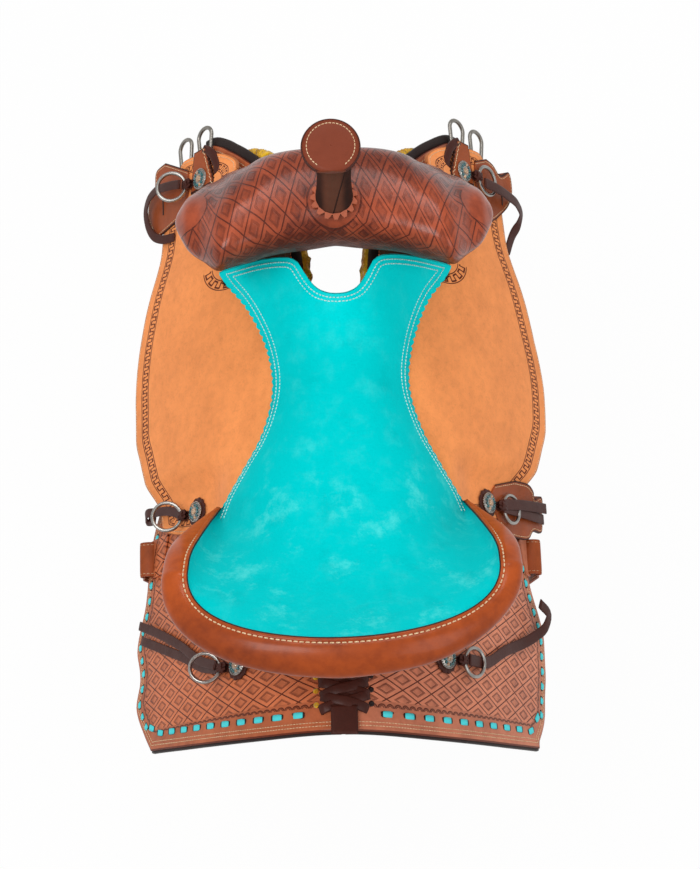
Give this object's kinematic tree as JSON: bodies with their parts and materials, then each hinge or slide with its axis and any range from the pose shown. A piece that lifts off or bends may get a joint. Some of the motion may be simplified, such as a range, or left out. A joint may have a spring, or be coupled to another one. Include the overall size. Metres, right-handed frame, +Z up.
{
  "type": "western saddle",
  "caption": "Western barrel racing saddle: slim horn, tooled swell, deep suede seat, rough-out jockeys, tooled skirts, conchos with rings, fenders and stirrups.",
  "frame": {"origin": "on the ridge line of the horse's back, where the saddle rests, under the front half of the seat", "axes": "+Y forward to the horn, +X to the rider's right, +Z up"},
  "size_m": [0.4524, 0.6797, 0.9426],
  "materials": {
    "fleece": "curly wool fleece, yellow",
    "skirt_leather": "oiled tooled leather",
    "rough_out": "rough-out leather, flesh side out",
    "suede": "brushed turquoise suede",
    "foam": "seat foam",
    "ground_leather": "skived leather",
    "swell_leather": "antiqued tooled leather",
    "roll_leather": "smooth glossy leather",
    "rawhide_wood": "rawhide-covered wood",
    "steel": "plain steel",
    "cap_leather": "smooth leather",
    "dark_leather": "dark latigo leather",
    "nickel": "polished nickel",
    "satin_steel": "satin stainless steel",
    "brown_leather": "brown harness leather"
  },
  "bodies": {
    "saddle": {"cantle_back": "skirt_leather", "cantle_roll": "roll_leather", "concho_front_left": "nickel", "concho_front_right": "nickel", "concho_middle_left": "nickel", "concho_middle_right": "nickel", "concho_rear_left": "nickel", "concho_rear_right": "nickel", "fleece_left": "fleece", "fleece_right": "fleece", "ground_seat": "ground_leather", "horn_cap": "cap_leather", "horn_core": "steel", "horn_neck_wrap": "dark_leather", "jockey_left": "rough_out", "jockey_right": "rough_out", "keeper_front_left": "brown_leather", "keeper_front_right": "brown_leather", "keeper_rear_right": "brown_leather", "leather_loop_left": "brown_leather", "leather_loop_right": "brown_leather", "rear_plate_left": "brown_leather", "rear_plate_right": "brown_leather", "ring_string_front_left": "dark_leather", "ring_string_front_right": "dark_leather", "ring_string_middle_left": "dark_leather", "ring_string_middle_right": "dark_leather", "ring_string_rear_left": "dark_leather", "ring_string_rear_right": "dark_leather", "seat_foam": "foam", "seat_suede": "suede", "skirt_lacing": "dark_leather", "skirt_left": "skirt_leather", "skirt_right": "skirt_leather", "swell_cover": "swell_leather", "tree_bar_left": "rawhide_wood", "tree_bar_right": "rawhide_wood", "tree_cantle": "rawhide_wood", "tree_fork": "rawhide_wood"},
    "breast_dee_left_body": {"breast_dee_left": "satin_steel"},
    "breast_dee_right_body": {"breast_dee_right": "satin_steel"},
    "rear_billet_left_body": {"rear_billet_left": "brown_leather"},
    "rear_billet_right_body": {"rear_billet_right": "brown_leather"},
    "rigging_dee_left_body": {"rigging_dee_left": "satin_steel"},
    "rigging_dee_right_body": {"rigging_dee_right": "satin_steel"},
    "string_ring_front_left_body": {"string_ring_front_left": "nickel"},
    "string_ring_front_right_body": {"string_ring_front_right": "nickel"},
    "string_ring_middle_left_body": {"string_ring_middle_left": "nickel"},
    "string_ring_middle_right_body": {"string_ring_middle_right": "nickel"},
    "string_ring_rear_left_body": {"string_ring_rear_left": "nickel"},
    "string_ring_rear_right_body": {"string_ring_rear_right": "nickel"},
    "fender_left_body": {"fender_left": "skirt_leather", "stirrup_leather_left": "brown_leather"},
    "stirrup_left_body": {"stirrup_left": "brown_leather", "stirrup_bolt_left": "satin_steel"},
    "fender_right_body": {"fender_right": "skirt_leather", "stirrup_leather_right": "brown_leather"},
    "stirrup_right_body": {"stirrup_right": "brown_leather", "stirrup_bolt_right": "satin_steel"}
  },
  "joints": [
    {"name": "string_ring_front_left_swing", "type": "hinge", "parent": "saddle", "child": "string_ring_front_left_body", "pos_m": [-0.15892, 0.32539, -0.05752], "axis": [0, 0.987, 0.1609], "range_deg": [-58, 90]},
    {"name": "string_ring_middle_left_swing", "type": "hinge", "parent": "saddle", "child": "string_ring_middle_left_body", "pos_m": [-0.17054, -0.03194, -0.1053], "axis": [0, 0.9999, -0.016], "range_deg": [-60, 90]},
    {"name": "string_ring_rear_left_swing", "type": "hinge", "parent": "saddle", "child": "string_ring_rear_left_body", "pos_m": [-0.12447, -0.20758, -0.04929], "axis": [0, 0.9946, -0.1034], "range_deg": [-54, 90]},
    {"name": "breast_dee_left_swing", "type": "hinge", "parent": "saddle", "child": "breast_dee_left_body", "pos_m": [-0.13615, 0.3525, -0.0502], "axis": [0.6175, 0, 0.7865], "range_deg": [-1.5, 15]},
    {"name": "rigging_dee_left_swing", "type": "hinge", "parent": "saddle", "child": "rigging_dee_left_body", "pos_m": [-0.15878, 0.3525, -0.08059], "axis": [0.5785, 0, 0.8157], "range_deg": [-1.5, 15]},
    {"name": "rear_billet_left_swing", "type": "hinge", "parent": "saddle", "child": "rear_billet_left_body", "pos_m": [-0.21185, -0.058, -0.19553], "axis": [0, 1, 0], "range_deg": [-4, 35]},
    {"name": "fender_left_swing", "type": "hinge", "parent": "saddle", "child": "fender_left_body", "pos_m": [-0.10956, 0.09, -0.03614], "axis": [1, 0, 0], "range_deg": [-8, 14]},
    {"name": "stirrup_left_tilt", "type": "hinge", "parent": "fender_left_body", "child": "stirrup_left_body", "pos_m": [-0.176, 0.09, -0.555], "axis": [0, 1, 0], "range_deg": [-35, 35]},
    {"name": "string_ring_front_right_swing", "type": "hinge", "parent": "saddle", "child": "string_ring_front_right_body", "pos_m": [0.15892, 0.32539, -0.05752], "axis": [0, -0.987, -0.1609], "range_deg": [-7, 140]},
    {"name": "string_ring_middle_right_swing", "type": "hinge", "parent": "saddle", "child": "string_ring_middle_right_body", "pos_m": [0.17054, -0.03194, -0.1053], "axis": [0, -0.9999, 0.016], "range_deg": [-2, 140]},
    {"name": "string_ring_rear_right_swing", "type": "hinge", "parent": "saddle", "child": "string_ring_rear_right_body", "pos_m": [0.12447, -0.20758, -0.04929], "axis": [0, -0.9946, 0.1034], "range_deg": [-7, 140]},
    {"name": "breast_dee_right_swing", "type": "hinge", "parent": "saddle", "child": "breast_dee_right_body", "pos_m": [0.13615, 0.3525, -0.0502], "axis": [0.6175, 0, -0.7865], "range_deg": [-1.5, 15]},
    {"name": "rigging_dee_right_swing", "type": "hinge", "parent": "saddle", "child": "rigging_dee_right_body", "pos_m": [0.15878, 0.3525, -0.08059], "axis": [0.5785, 0, -0.8157], "range_deg": [-1.5, 15]},
    {"name": "rear_billet_right_swing", "type": "hinge", "parent": "saddle", "child": "rear_billet_right_body", "pos_m": [0.21185, -0.058, -0.19553], "axis": [0, -1, 0], "range_deg": [-4, 35]},
    {"name": "fender_right_swing", "type": "hinge", "parent": "saddle", "child": "fender_right_body", "pos_m": [0.10956, 0.09, -0.03614], "axis": [1, 0, 0], "range_deg": [-8, 14]},
    {"name": "stirrup_right_tilt", "type": "hinge", "parent": "fender_right_body", "child": "stirrup_right_body", "pos_m": [0.176, 0.09, -0.555], "axis": [0, 1, 0], "range_deg": [-35, 35]}
  ]
}
